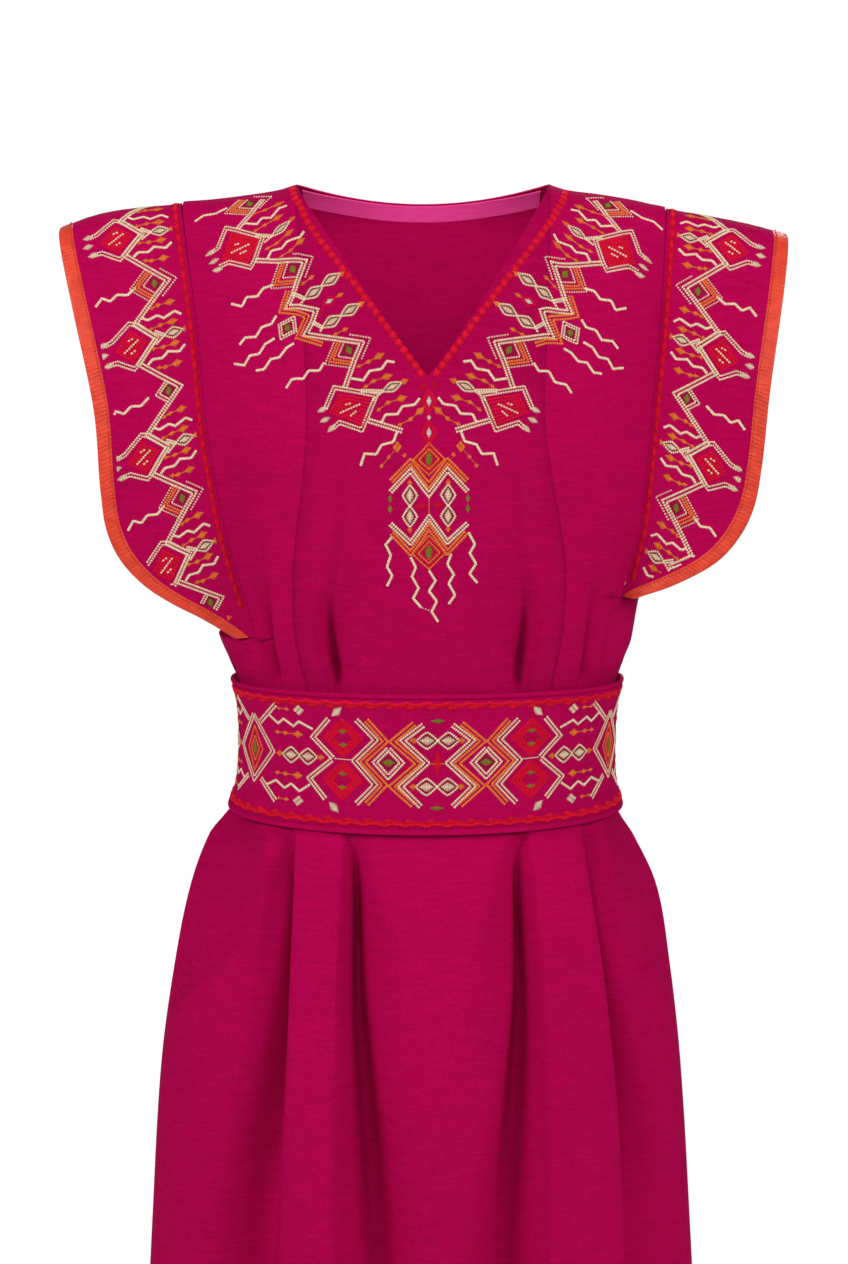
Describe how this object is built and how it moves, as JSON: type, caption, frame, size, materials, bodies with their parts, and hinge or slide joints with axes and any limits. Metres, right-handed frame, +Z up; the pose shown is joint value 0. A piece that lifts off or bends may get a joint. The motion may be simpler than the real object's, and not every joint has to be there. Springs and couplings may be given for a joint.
{
  "type": "kabyle dress",
  "caption": "Ankle-length V-neck dress with bound wing sleeves, box-pleated skirt and a wide embroidered belt, holding its worn form with no wearer.",
  "frame": {"origin": "midway between the neck ends of the two shoulder seams, where the wearer's shoulders hold the dress", "axes": "+Z up, the front faces -Y, the wearer's left is +X"},
  "size_m": [0.571, 0.3656, 1.3516],
  "materials": {
    "magenta_cloth": "matt fine twill",
    "facing_cloth": "smooth matt",
    "orange_satin": "satin sheen"
  },
  "bodies": {
    "root": {"front_bodice": "magenta_cloth", "back_bodice": "magenta_cloth", "front_skirt": "magenta_cloth", "back_skirt": "magenta_cloth", "right_sleeve": "magenta_cloth", "left_sleeve": "magenta_cloth", "right_sleeve_binding": "orange_satin", "left_sleeve_binding": "orange_satin", "back_neck_facing": "facing_cloth", "belt": "magenta_cloth"}
  },
  "joints": []
}
